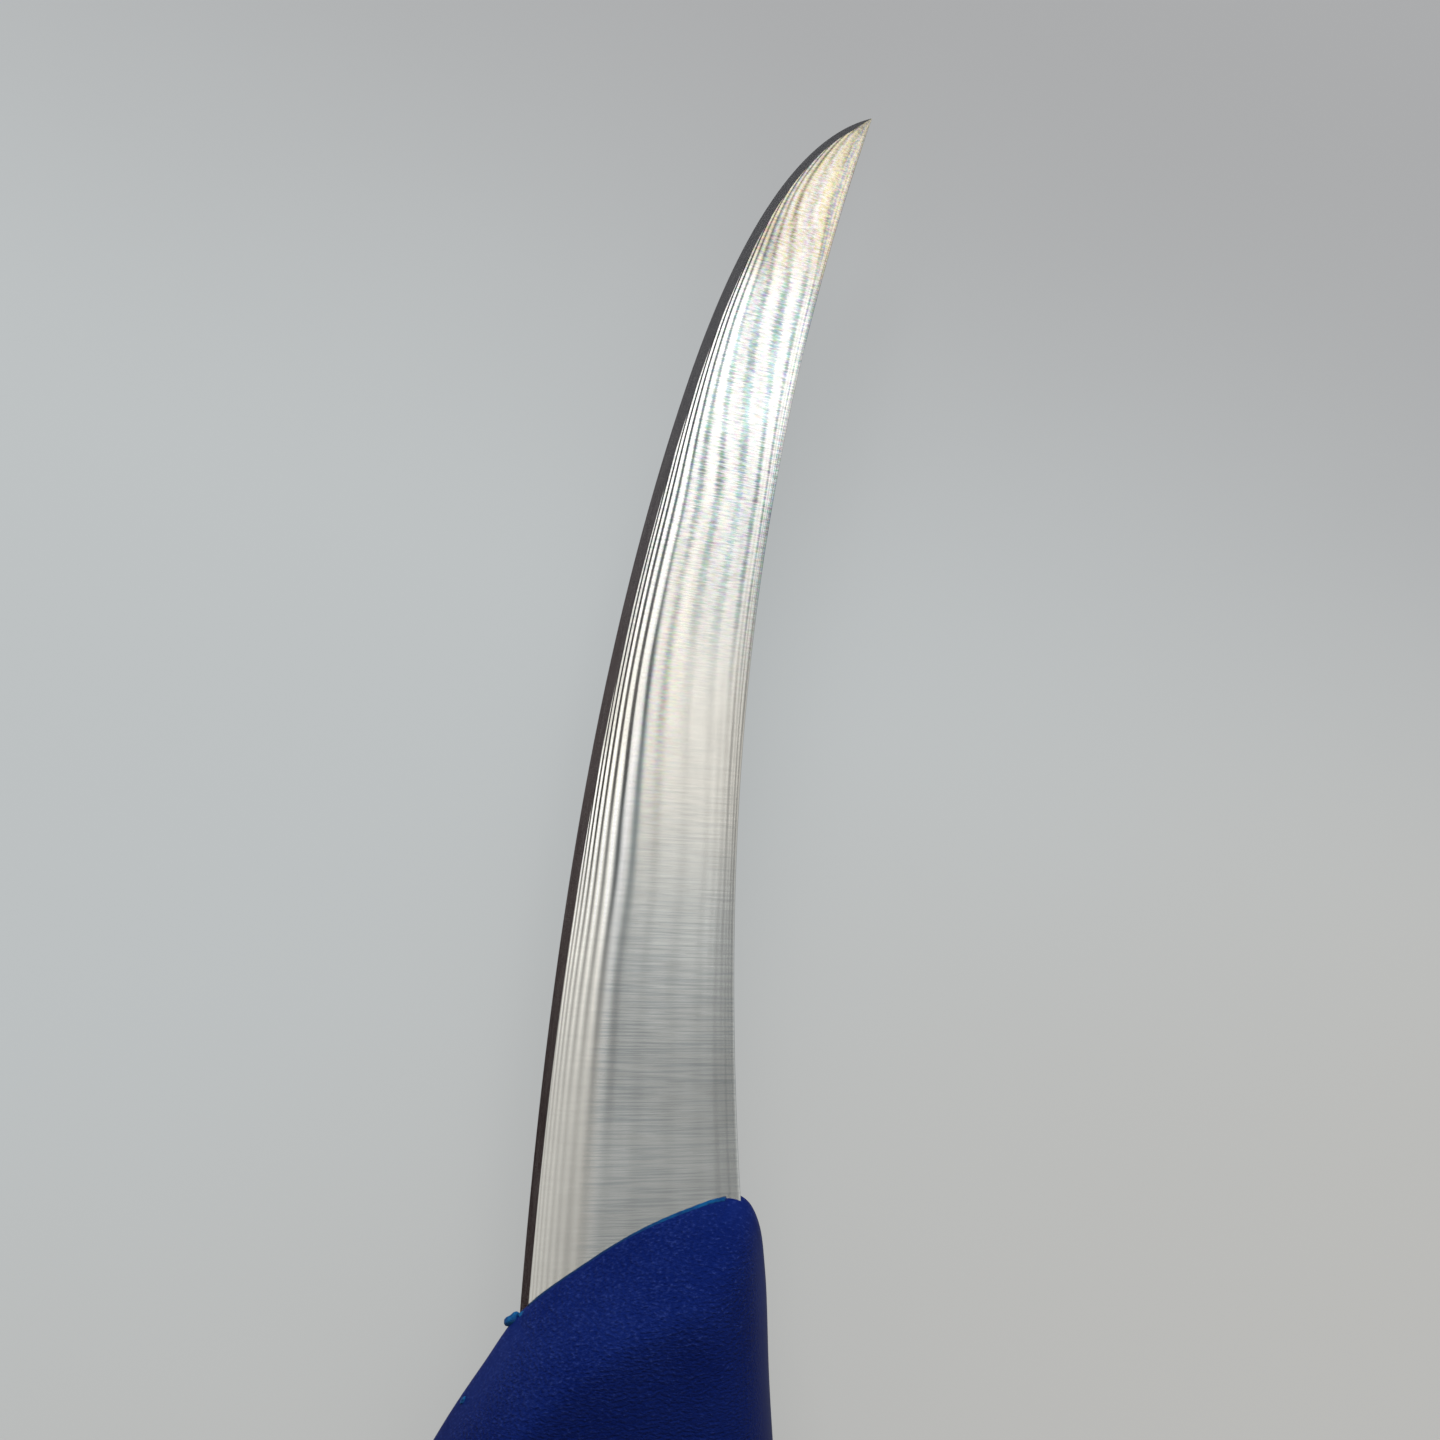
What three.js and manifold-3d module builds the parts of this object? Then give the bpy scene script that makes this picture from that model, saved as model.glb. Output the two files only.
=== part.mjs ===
// A curved boning knife, lying on its side as it rests on a table.
//
// It is made of two pieces. The blade is one strip of stainless steel, hollow along the spine and convex
// along the edge, and its narrow tang with three holes runs deep into the grip. The handle is one plastic
// moulding shot around that tang: plugs of the plastic fill the holes, so neither piece can leave the other.
//
// Millimetres. +Y runs along the knife to its tip, +X from the cutting edge to the spine, and +Z up from the
// table. Outlines are drawn in the blade's middle plane, from the corner where the spine meets the handle.
import * as THREE from "three";
import { mergeVertices } from "three/addons/utils/BufferGeometryUtils.js";
import Module from "manifold-3d";

const at = (x, y) => new THREE.Vector2(x, y);

// Blade outline, from its root inside the handle to the tip
const TIP = at(17, 139.7);
const SPINE_ROOT = at(0.7, -10.5);
const EDGE_ROOT = at(-29.3, -24);
const EDGE_TURN = at(-6.2, 107.5);
const SPINE_LINE = new THREE.CubicBezierCurve(SPINE_ROOT, at(-3.8, 47.4), at(1.4, 94.9), TIP);
const EDGE_LINE = new THREE.CurvePath();
EDGE_LINE.add(new THREE.CubicBezierCurve(EDGE_ROOT, at(-25.9, 24), at(-19.4, 70), EDGE_TURN));
EDGE_LINE.add(new THREE.CubicBezierCurve(EDGE_TURN, at(-3.2, 115.9), at(4.7, 136.9), TIP));

// Blade section
const STOCK_THICKNESS = 2.2;
const TIP_THICKNESS = 0.8;
const TIP_FACE_SLOPE = 0.045;
const BEVEL_HEEL_WIDTH = 1.15;
const BEVEL_SWELL = 0.2;
const BEVEL_TIP_SHARE = 0.6;
const BEVEL_FULL_WIDTH = 12;
const BEVEL_LARGEST_SHARE = 0.3;
const BEVEL_SLOPE = 0.21;
const BEVEL_THICKNESS = 0.55;
const EDGE_THICKNESS = 0.1;
const FACE_CONVEXITY = 1.7;
const FACE_STEPS = 5;
const SPINE_CHAMFER = 0.25;
const BLADE_STATIONS = 44;
const LAST_STATION = 0.998;
const TIP_CROWDING = 1.4;

// Tang
const TANG_EDGE_CORNER = at(-20.5, -16.5);
const TANG_SPINE_CORNER = at(-4.5, -9.3);
const TANG_END = at(-13, -98);
const TANG_END_RADIUS = 5.5;
const TANG_HOLE_RADIUS = 3;
const TANG_HOLES = [at(-12.6, -38), at(-12.8, -62), at(-13, -86)];
const TANG_CURVE_SEGMENTS = 12;

// Handle: the parting line seen from the side, the flat flank inside it, and how full the rounding between
// them is. A fullness of 2 is a quarter of an ellipse and 1 a plain chamfer, so the guard's front is a ramp.
const HANDLE_THICKNESS = 23;
const ROUND = 2;
const HALF_ROUND = 1.6;
const RAMP = 1.25;
const HANDLE_RIM = [
  // Front of the handle on the blade, from the spine to the heel
  { rim: [-1.5, 0.6], flank: [-7.2, -13.9], fullness: RAMP },
  { rim: [-7.1, -1.1], flank: [-9.4, -14.7], fullness: RAMP },
  { rim: [-13.5, -4.1], flank: [-12.8, -16.4], fullness: RAMP },
  { rim: [-19.8, -8.1], flank: [-16.8, -18.8], fullness: RAMP },
  { rim: [-28.3, -14.6], flank: [-21.2, -21.9], fullness: RAMP },
  // Finger guard
  { rim: [-33.4, -21.6], flank: [-26, -26.5], fullness: RAMP },
  { rim: [-38.6, -29.4], flank: [-31, -32.4], fullness: RAMP },
  { rim: [-43, -37.4], flank: [-34.6, -38.6], fullness: HALF_ROUND },
  { rim: [-44.8, -43.2], flank: [-36, -42.6], fullness: ROUND },
  { rim: [-42.6, -48.2], flank: [-35.2, -45.4], fullness: ROUND },
  { rim: [-35.6, -52.4], flank: [-29.6, -47.8], fullness: ROUND },
  // Underside of the grip, from the finger groove over the belly to the hook
  { rim: [-28.8, -58], flank: [-21, -53], fullness: ROUND },
  { rim: [-25.8, -67], flank: [-16.6, -65], fullness: ROUND },
  { rim: [-26.2, -80], flank: [-15.8, -80], fullness: ROUND },
  { rim: [-29, -98], flank: [-18, -98], fullness: ROUND },
  { rim: [-33.4, -115], flank: [-22, -113], fullness: ROUND },
  { rim: [-37.4, -127], flank: [-26, -121.5], fullness: ROUND },
  { rim: [-36.8, -134], flank: [-26.4, -125.4], fullness: ROUND },
  // Butt
  { rim: [-30.5, -137.4], flank: [-23, -127.6], fullness: ROUND },
  { rim: [-17.5, -138.6], flank: [-16.5, -128.4], fullness: ROUND },
  { rim: [-5.5, -136.2], flank: [-10.6, -126.6], fullness: ROUND },
  { rim: [1, -129.6], flank: [-7.6, -121.8], fullness: ROUND },
  // Back of the grip, up to the shoulder behind the spine
  { rim: [3.8, -112], flank: [-6.4, -110], fullness: ROUND },
  { rim: [5.6, -80], flank: [-5.6, -80], fullness: ROUND },
  { rim: [5.2, -50], flank: [-5.4, -50], fullness: ROUND },
  { rim: [3.7, -24], flank: [-5.5, -28], fullness: ROUND },
  { rim: [3.15, -9.5], flank: [-5.4, -18.6], fullness: HALF_ROUND },
  { rim: [2.3, -3.2], flank: [-5.6, -15.4], fullness: HALF_ROUND },
  { rim: [0.8, -0.4], flank: [-6.2, -14.2], fullness: RAMP },
];
const RIM_STEPS = 4;
const ROUNDING_STEPS = 8;

// Shallow scoop across each flank behind the guard's ridge, where the thumb and the finger press
const SCOOP_MIDDLE = at(-14, -46);
const SCOOP_DEPTH = 1.1;
const SCOOP_RADIUS = 200;
const SCOOP_SLANT = THREE.MathUtils.degToRad(33);
const SCOOP_LENGTH = 120;
const SCOOP_SIDES = 200;

// Gap left between the steel and the plastic around it
const CLEARANCE = 0.3;

// Solids and geometries
const wasm = await Module();
wasm.setup();

function toSolid(geometry) {
  const bare = geometry.clone();
  bare.deleteAttribute("normal");
  bare.deleteAttribute("uv");
  const merged = mergeVertices(bare);
  const vertProperties = Float32Array.from(merged.attributes.position.array);
  const triVerts = Uint32Array.from(merged.index.array);
  return new wasm.Manifold(new wasm.Mesh({ numProp: 3, vertProperties, triVerts }));
}

function toGeometry(solid) {
  const mesh = solid.getMesh();
  const geometry = new THREE.BufferGeometry();
  geometry.setAttribute("position", new THREE.BufferAttribute(mesh.vertProperties, 3));
  geometry.setIndex(new THREE.BufferAttribute(mesh.triVerts, 1));
  geometry.computeVertexNormals();
  return geometry;
}

// Closed skin over a row of rings with equal point counts. The flat outline says how both ends are filled.
function skin(rings, flatOutline) {
  const count = rings[0].length;
  const lastRing = (rings.length - 1) * count;
  const index = [];
  for (let ring = 0; ring < rings.length - 1; ring++) {
    for (let i = 0; i < count; i++) {
      const a = ring * count + i;
      const b = ring * count + ((i + 1) % count);
      index.push(a, b, b + count, a, b + count, a + count);
    }
  }
  for (const [a, b, c] of THREE.ShapeUtils.triangulateShape(flatOutline, [])) {
    index.push(a, c, b);
    index.push(lastRing + a, lastRing + b, lastRing + c);
  }
  const geometry = new THREE.BufferGeometry().setFromPoints(rings.flat());
  geometry.setIndex(index);
  geometry.computeVertexNormals();
  return geometry;
}

// The bevel is widest in the middle of the blade and narrows to the heel and the tip.
function bevelWidth(station, width) {
  const narrowing = THREE.MathUtils.lerp(BEVEL_TIP_SHARE, 1, Math.min(1, width / BEVEL_FULL_WIDTH));
  const fullBevel = (BEVEL_HEEL_WIDTH + BEVEL_SWELL * Math.sin(Math.PI * station)) * narrowing;
  return Math.min(fullBevel, BEVEL_LARGEST_SHARE * width);
}

// One face of the blade's section, edge to spine: x is its height, y its distance from the edge.
function bladeFace(station, width, grow) {
  const bevel = bevelWidth(station, width);
  const edgeHalf = EDGE_THICKNESS / 2;
  const bevelHalf = THREE.MathUtils.clamp(BEVEL_SLOPE * bevel, edgeHalf, BEVEL_THICKNESS / 2);
  const stockHalf = THREE.MathUtils.lerp(STOCK_THICKNESS, TIP_THICKNESS, station) / 2;
  const spineHalf = Math.min(stockHalf, bevelHalf + TIP_FACE_SLOPE * (width - bevel));
  const chamfer = Math.min(SPINE_CHAMFER, spineHalf / 2, BEVEL_LARGEST_SHARE * width);
  const face = [at(edgeHalf + grow, -grow)];
  for (let step = 0; step <= FACE_STEPS; step++) {
    const share = step / FACE_STEPS;
    const distance = THREE.MathUtils.lerp(bevel, width - chamfer, share);
    const rise = 1 - Math.pow(1 - share, FACE_CONVEXITY);
    face.push(at(THREE.MathUtils.lerp(bevelHalf, spineHalf, rise) + grow, distance));
  }
  face.push(at(spineHalf - chamfer + grow, width + grow));
  return face;
}

// The blade from its root to the tip, made thicker and wider by grow all round
function bladeBody(grow) {
  const rings = [];
  let flatOutline = [];
  for (let i = 0; i <= BLADE_STATIONS; i++) {
    const station = LAST_STATION * (1 - Math.pow(1 - i / BLADE_STATIONS, TIP_CROWDING));
    const edge = EDGE_LINE.getPoint(station);
    const spine = SPINE_LINE.getPointAt(station);
    const across = spine.clone().sub(edge);
    const width = across.length();
    across.normalize();
    const upper = bladeFace(station, width, grow);
    const lower = upper.map((point) => at(-point.x, point.y)).reverse();
    flatOutline = [...lower, ...upper];
    rings.push(
      flatOutline.map((point) => {
        const place = edge.clone().addScaledVector(across, point.y);
        return new THREE.Vector3(place.x, place.y, point.x);
      }),
    );
  }
  const forward = at(EDGE_ROOT.y - SPINE_ROOT.y, SPINE_ROOT.x - EDGE_ROOT.x).normalize();
  for (const point of rings[0]) {
    point.x -= forward.x * grow;
    point.y -= forward.y * grow;
  }
  return skin(rings, flatOutline);
}

// The tang's flat strip, grown all round, which makes its holes smaller
function tangPlate(grow) {
  const outline = new THREE.Shape();
  const endRadius = TANG_END_RADIUS + grow;
  outline.moveTo(TANG_EDGE_CORNER.x - grow, TANG_EDGE_CORNER.y + grow);
  outline.lineTo(TANG_END.x - endRadius, TANG_END.y);
  outline.absarc(TANG_END.x, TANG_END.y, endRadius, Math.PI, 2 * Math.PI, false);
  outline.lineTo(TANG_SPINE_CORNER.x + grow, TANG_SPINE_CORNER.y + grow);
  for (const centre of TANG_HOLES) {
    const hole = new THREE.Path();
    hole.absarc(centre.x, centre.y, TANG_HOLE_RADIUS - grow, 0, 2 * Math.PI, true);
    outline.holes.push(hole);
  }
  const depth = STOCK_THICKNESS + 2 * grow;
  const shaping = { depth, bevelEnabled: false, curveSegments: TANG_CURVE_SEGMENTS };
  return new THREE.ExtrudeGeometry(outline, shaping).translate(0, 0, -depth / 2);
}

// Blade and tang as one piece of steel
function steelSolid(grow) {
  return toSolid(bladeBody(grow)).add(toSolid(tangPlate(grow)));
}

// The handle without its slot: rings from one flank, over the parting line, to the other flank
function handleBody() {
  const rimCurve = new THREE.CatmullRomCurve3(
    HANDLE_RIM.map(({ rim, fullness }) => new THREE.Vector3(...rim, fullness)),
    true,
  );
  const flankCurve = new THREE.CatmullRomCurve3(
    HANDLE_RIM.map(({ flank }) => new THREE.Vector3(...flank, 0)),
    true,
  );
  const around = HANDLE_RIM.length * RIM_STEPS;
  const rings = [];
  for (let layer = -ROUNDING_STEPS; layer <= ROUNDING_STEPS; layer++) {
    const angle = (layer / ROUNDING_STEPS) * (Math.PI / 2);
    const ring = [];
    for (let i = 0; i < around; i++) {
      const rim = rimCurve.getPoint(i / around);
      const flank = flankCurve.getPoint(i / around);
      const power = 2 / rim.z;
      const inward = 1 - Math.pow(Math.cos(angle), power);
      const height = (Math.sign(layer) * Math.pow(Math.abs(Math.sin(angle)), power) * HANDLE_THICKNESS) / 2;
      ring.push(new THREE.Vector3().lerpVectors(rim, flank, inward).setZ(height));
    }
    rings.push(ring);
  }
  return skin(rings, rings[0].map((point) => at(point.x, point.y)));
}

// A drum that lies across the handle and dips into the flank on that side
function scoopDrum(side) {
  const drum = new THREE.CylinderGeometry(SCOOP_RADIUS, SCOOP_RADIUS, SCOOP_LENGTH, SCOOP_SIDES);
  drum.rotateZ(SCOOP_SLANT - Math.PI / 2);
  const height = HANDLE_THICKNESS / 2 + SCOOP_RADIUS - SCOOP_DEPTH;
  return toSolid(drum.translate(SCOOP_MIDDLE.x, SCOOP_MIDDLE.y, side * height));
}

// The moulding with its scoops and the slot that the steel fills
function handleSolid() {
  const body = toSolid(handleBody());
  return body.subtract(scoopDrum(1)).subtract(scoopDrum(-1)).subtract(steelSolid(CLEARANCE));
}

const steel = new THREE.MeshStandardMaterial({ color: 0xbfc0c0, roughness: 0.3, metalness: 1 });
const bluePlastic = new THREE.MeshStandardMaterial({ color: 0x111e53, roughness: 0.5, metalness: 0 });

const blade = new THREE.Mesh(toGeometry(steelSolid(0)), steel);
blade.name = "blade";

const handle = new THREE.Mesh(toGeometry(handleSolid()), bluePlastic);
handle.name = "handle";

// The knife stands on the middle of its own footprint, with the handle's lower flank on the table.
const knife = new THREE.Group();
knife.add(blade, handle);
const box = new THREE.Box3().setFromObject(knife);
const middle = box.getCenter(new THREE.Vector3());
knife.position.set(-middle.x, -middle.y, -box.min.z);

export default knife;
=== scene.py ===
"""Looks of a curved boning knife: a cross-ground steel blade in a blue moulded handle, lying on its side."""
import math

import bmesh
import bpy
from mathutils import Matrix, Vector, noise
from mathutils.geometry import interpolate_bezier, intersect_point_line


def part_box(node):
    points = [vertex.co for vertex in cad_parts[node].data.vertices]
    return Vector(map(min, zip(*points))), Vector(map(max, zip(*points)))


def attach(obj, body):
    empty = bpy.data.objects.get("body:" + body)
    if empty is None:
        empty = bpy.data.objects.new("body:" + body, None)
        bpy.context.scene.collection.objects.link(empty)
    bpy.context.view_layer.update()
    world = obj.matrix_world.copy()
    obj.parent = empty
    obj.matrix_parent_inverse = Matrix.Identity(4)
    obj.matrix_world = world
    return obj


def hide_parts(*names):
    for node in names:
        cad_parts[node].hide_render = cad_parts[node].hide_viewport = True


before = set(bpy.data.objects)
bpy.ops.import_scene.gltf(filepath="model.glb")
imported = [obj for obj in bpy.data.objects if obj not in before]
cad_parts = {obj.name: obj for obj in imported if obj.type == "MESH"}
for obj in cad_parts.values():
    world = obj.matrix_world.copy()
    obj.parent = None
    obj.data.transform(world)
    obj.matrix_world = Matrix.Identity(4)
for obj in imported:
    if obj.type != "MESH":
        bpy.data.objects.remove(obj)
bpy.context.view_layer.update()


# Blade: one strip of stainless steel, ground across on both faces, with a narrow polished bevel at its edge.
# Its root and its narrow tang with three holes are held inside the handle's moulding.
# Outlines are in millimetres in the blade's middle plane, from the corner where the spine meets the handle.
BLADE_TIP = Vector((17.0, 139.7, 0.0))
SPINE_CURVE = (Vector((0.7, -10.5, 0.0)), Vector((-3.8, 47.4, 0.0)), Vector((1.4, 94.9, 0.0)), BLADE_TIP)
EDGE_TURN = Vector((-6.2, 107.5, 0.0))
EDGE_CURVE = (Vector((-29.3, -24.0, 0.0)), Vector((-25.9, 24.0, 0.0)), Vector((-19.4, 70.0, 0.0)), EDGE_TURN)
EDGE_TIP_CURVE = (EDGE_TURN, Vector((-3.2, 115.9, 0.0)), Vector((4.7, 136.9, 0.0)), BLADE_TIP)
CURVE_STEPS = 600
SPINE_LENGTH = 152.0
SPINE_STEP = 0.01
LEAST_WIDTH = 0.01
BLADE_ROWS = 220
TIP_CROWDING = 1.4
BEVEL_COLUMNS = 3
FACE_COLUMNS = 40
SPINE_COLUMNS = 6
BLADE_COLUMNS = BEVEL_COLUMNS + FACE_COLUMNS + SPINE_COLUMNS
BEVEL_HEEL_WIDTH = 1.15
BEVEL_SWELL = 0.2
BEVEL_HALF = 0.275
BEVEL_SLOPE = 0.21
BEVEL_TIP_SHARE = 0.6
BEVEL_FULL_WIDTH = 12.0
BEVEL_LARGEST_SHARE = 0.3
STOCK_HALF = 1.1
TIP_HALF = 0.4
TIP_FACE_SLOPE = 0.045
FACE_CONVEXITY = 1.7
SPINE_ROUNDING = 0.18
SPINE_ROUNDING_SHARE = 0.7
GRIND_UNIT = 27.0
LINE_SWEEP = 16.6
LINE_SWEEP_START = 0.3
LINE_SWEEP_POWER = 2.5
LINE_BENDS = (
    (0.36, 0.05, -0.2),
    (0.53, 0.08, 0.38),
    (0.67, 0.05, -0.3),
    (0.85, 0.035, -0.3),
    (0.92, 0.03, 0.3),
)
TANG_OVERLAP = 1.0
TANG_MERGE = 0.00001
HALF_MERGE = 0.0005
MILLIMETRE = 0.001

blade_low, blade_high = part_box("blade")
SPINE_CORNER = Vector((0.014, -0.000484, (blade_low.z + blade_high.z) / 2))
TO_FRAME = Matrix.Translation(SPINE_CORNER) @ Matrix.Scale(MILLIMETRE, 4)


def point_along(line, share):
    """The point at a share of a polyline's length."""
    left = share * sum((b - a).length for a, b in zip(line, line[1:]))
    for a, b in zip(line, line[1:]):
        step = (b - a).length
        if left <= step:
            return a.lerp(b, left / step)
        left -= step
    return line[-1].copy()


def bevel_width(station, width):
    """The bevel is widest in the middle of the blade and narrows to the heel and the tip."""
    narrowing = BEVEL_TIP_SHARE + (1 - BEVEL_TIP_SHARE) * min(1.0, width / BEVEL_FULL_WIDTH)
    return (BEVEL_HEEL_WIDTH + BEVEL_SWELL * math.sin(math.pi * station)) * narrowing


def blade_section(column, width, station):
    """Distance from the edge and height above the middle plane at one column of the blade's face."""
    bevel = min(bevel_width(station, width), BEVEL_LARGEST_SHARE * width)
    shoulder = min(BEVEL_HALF, BEVEL_SLOPE * bevel)
    back = min(STOCK_HALF + (TIP_HALF - STOCK_HALF) * station, shoulder + TIP_FACE_SLOPE * (width - bevel))
    rounding = min(SPINE_ROUNDING, BEVEL_LARGEST_SHARE * width, SPINE_ROUNDING_SHARE * back)
    if column <= BEVEL_COLUMNS:
        share = column / BEVEL_COLUMNS
        return share * bevel, share * shoulder
    if column <= BEVEL_COLUMNS + FACE_COLUMNS:
        share = (column - BEVEL_COLUMNS) / FACE_COLUMNS
        rise = 1 - (1 - share) ** FACE_CONVEXITY
        return bevel + (width - rounding - bevel) * share, shoulder + (back - shoulder) * rise
    turn = (column - BEVEL_COLUMNS - FACE_COLUMNS) / (SPINE_COLUMNS - 1)
    if turn > 1:
        return width, 0.0
    angle = turn * math.pi / 2
    return width - rounding * (1 - math.sin(angle)), back - rounding * (1 - math.cos(angle))


def add_mirrored_half(bm):
    """Joins a half drawn above the middle plane to its mirror image below it."""
    half = bm.verts[:] + bm.edges[:] + bm.faces[:]
    bmesh.ops.mirror(bm, geom=half, matrix=Matrix.Identity(4), merge_dist=HALF_MERGE, axis="Z")
    bmesh.ops.remove_doubles(bm, verts=bm.verts, dist=HALF_MERGE)


def finish_piece(bm, name, finishes, node=None):
    """An object from a bmesh drawn in millimetres, riding on the knife's one body."""
    bmesh.ops.transform(bm, matrix=TO_FRAME, verts=bm.verts)
    mesh = bpy.data.meshes.new(name)
    bm.to_mesh(mesh)
    bm.free()
    for finish in finishes:
        mesh.materials.append(finish)
    piece = bpy.data.objects.new(name, mesh)
    bpy.context.scene.collection.objects.link(piece)
    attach(piece, "root")
    if node:
        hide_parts(node)


def add_node(tree, kind, *feeds, **settings):
    """The first output of a new shader node, fed in order by plain values, sockets or readings."""
    node = tree.nodes.new("ShaderNode" + kind)
    for key, value in settings.items():
        setattr(node, key, value)
    for socket, feed in zip(node.inputs, feeds):
        feed = getattr(feed, "socket", feed)
        if isinstance(feed, bpy.types.NodeSocket):
            tree.links.new(feed, socket)
        elif feed is not None:
            socket.default_value = feed
    return node.outputs[0]


class Reading:
    """A number that varies over a surface, so that a finish is written as plain arithmetic."""

    def __init__(self, socket):
        self.socket = socket
        self.tree = socket.id_data

    def work(self, operation, *others):
        """The result of one maths node on this reading."""
        return Reading(add_node(self.tree, "Math", self, *others, operation=operation))

    def __add__(self, other):
        return self.work("ADD", other)

    def __sub__(self, other):
        return self.work("SUBTRACT", other)

    def __rsub__(self, other):
        return self.work("MULTIPLY_ADD", -1.0, other)

    def __mul__(self, other):
        return self.work("MULTIPLY", other)

    __radd__ = __add__
    __rmul__ = __mul__

    def wave(self):
        """A sine wave that comes round at each whole number."""
        return (self * (2 * math.pi)).work("SINE")

    def bell(self, middle, reach):
        """1 at the middle, falling away smoothly on both sides."""
        off = (self - middle) * (1.0 / reach)
        return (off * off * -1.0).work("EXPONENT")

    def ease(self, start, end):
        """0 before the start, 1 after the end, smooth between them."""
        return Reading(
            add_node(self.tree, "MapRange", self, start, end, 0.0, 1.0, interpolation_type="SMOOTHSTEP")
        )

    def fall(self, start, end):
        """1 before the start, 0 after the end, smooth between them."""
        return 1.0 - self.ease(start, end)


def streaks(tree, across, along, detail=2.0):
    """Noise between 0 and 1 over two readings, each already scaled to the size of the streaks."""
    place = add_node(tree, "CombineXYZ", across, along)
    return Reading(add_node(tree, "TexNoise", place, None, 1.0, detail, 0.55, noise_dimensions="2D"))


def surface_reading(tree, name):
    """A number that the mesh carries at each of its points."""
    return Reading(add_node(tree, "Attribute", attribute_name=name).node.outputs["Fac"])


def blend_colours(tree, share, first, second):
    """A colour between two others, by a reading from 0 to 1."""
    mix = add_node(tree, "Mix", share, data_type="RGBA").node
    for socket, colour in zip(mix.inputs[6:8], (first, second)):
        if isinstance(colour, bpy.types.NodeSocket):
            tree.links.new(colour, socket)
        else:
            socket.default_value = (*colour, 1.0)
    return mix.outputs[2]


def new_finish(name):
    """A new material, its node tree and its surface shader."""
    finish = bpy.data.materials.new(name)
    finish.use_nodes = True
    return finish, finish.node_tree, finish.node_tree.nodes["Principled BSDF"]


# Satin faces: fine scratches across the blade, and lengthwise waves from the grinding wheel, closest beside
# the bevel. The colour carries painted reflection: tints that shift from cool grey at the heel to cream in
# the middle and gold at the tip.
# Places across the face run from 0 at the edge to 1 at the spine, and places along it are in millimetres.
FACE_COOL = (0.640, 0.662, 0.655)
FACE_WARM = (0.690, 0.675, 0.630)
FACE_TEAL = (0.50, 0.62, 0.64)
FACE_WHITE = (0.74, 0.75, 0.75)
FACE_CREAM = (0.77, 0.74, 0.67)
FACE_GOLD = (0.82, 0.73, 0.50)
FACE_ROSE = (0.74, 0.69, 0.65)
FACE_LILAC = (0.60, 0.60, 0.64)
FACE_SHADE = (0.36, 0.415, 0.445)
EDGE_LINES = 16.45
EDGE_LINES_REACH = (0.06, 0.15)
SPINE_LINES = 1.26
SPINE_LINES_END = 0.015
LINE_START = 0.57
LINE_WANDER = 0.25
SWEEP_LOSS = 0.535
EDGE_TILT = 0.066
SPINE_TILT = 0.03
FACE_TILT = 0.012
TIP_TILT_LOSS = 0.45
BROAD_TILT = 0.03
SCRATCH_TILT = 0.06
DARK_LINE_PLACE = (0.325, 0.085)
DARK_LINE_SHADE = 0.52
BESIDE_DARK_LINE_SHADE = 0.13
SLANT_BAND_TURN = 0.0042
SLANT_BAND_PLACE = (0.727, 0.035)
SLANT_BAND_SHADE = 0.1
FACE_ROUGHNESS = 0.16
FACE_ANISOTROPY = 0.85
FACE_ANISOTROPY_TURN = 0.25
steel_face, tree, shader = new_finish("steel_face")
face_place = add_node(tree, "SeparateXYZ", add_node(tree, "UVMap", uv_map="UVMap"))
across = Reading(face_place)
along = Reading(face_place.node.outputs[1]) * GRIND_UNIT
past_heel = along.ease(54.0, 70.0)
sparkle = along.ease(70.0, 102.0)
at_tip = along.ease(125.0, 135.0)
by_edge = across.fall(0.24, 0.36)
off_edge = 1.0 - by_edge
by_spine = across.ease(0.8, 0.92)

# Waves: how many lie across the face, how steeply they tilt, and the scratches that cross them
wander = (streaks(tree, across * 7.0, along * 0.03) - 0.5) * LINE_WANDER
edge_count = (across + EDGE_LINES_REACH[0]).work("DIVIDE", across + EDGE_LINES_REACH[1])
edge_count = edge_count.work("LOGARITHM", math.e) * EDGE_LINES
spine_count = (1.0 - across).work("MAXIMUM", SPINE_LINES_END).work("LOGARITHM", math.e) * SPINE_LINES
swept = surface_reading(tree, "line_sweep") * (1.0 - across * SWEEP_LOSS)
lines = edge_count - spine_count + swept + wander + LINE_START
ripple = (lines - 0.25).wave()
crest = ripple * 0.5 + 0.5
trough = (1.0 - crest).work("POWER", 2.0)
narrow_lines = 1.7 - across.ease(0.09, 0.16) * 0.7 - along.ease(66.0, 95.0) * across.ease(0.1, 0.2) * 0.5
ripple_tilt = by_edge * past_heel * narrow_lines * EDGE_TILT + by_spine * SPINE_TILT
ripple_tilt = ripple_tilt * (1.0 - at_tip * TIP_TILT_LOSS) + past_heel * FACE_TILT
broad_waves = (streaks(tree, across * 9.0, along * 0.012) - 0.5) * BROAD_TILT
scratches = (streaks(tree, across * 4.0 + along * 1.3, along * 3.5) - 0.5) * SCRATCH_TILT
tilt_across = ripple * ripple_tilt + broad_waves
lean = add_node(tree, "CombineXYZ", tilt_across * 0.5 + 0.5, scratches * 0.5 + 0.5, 1.0)
face_normal = add_node(tree, "NormalMap", 1.0, lean, space="TANGENT", uv_map="UVMap")
tree.links.new(face_normal, shader.inputs["Normal"])
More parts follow.
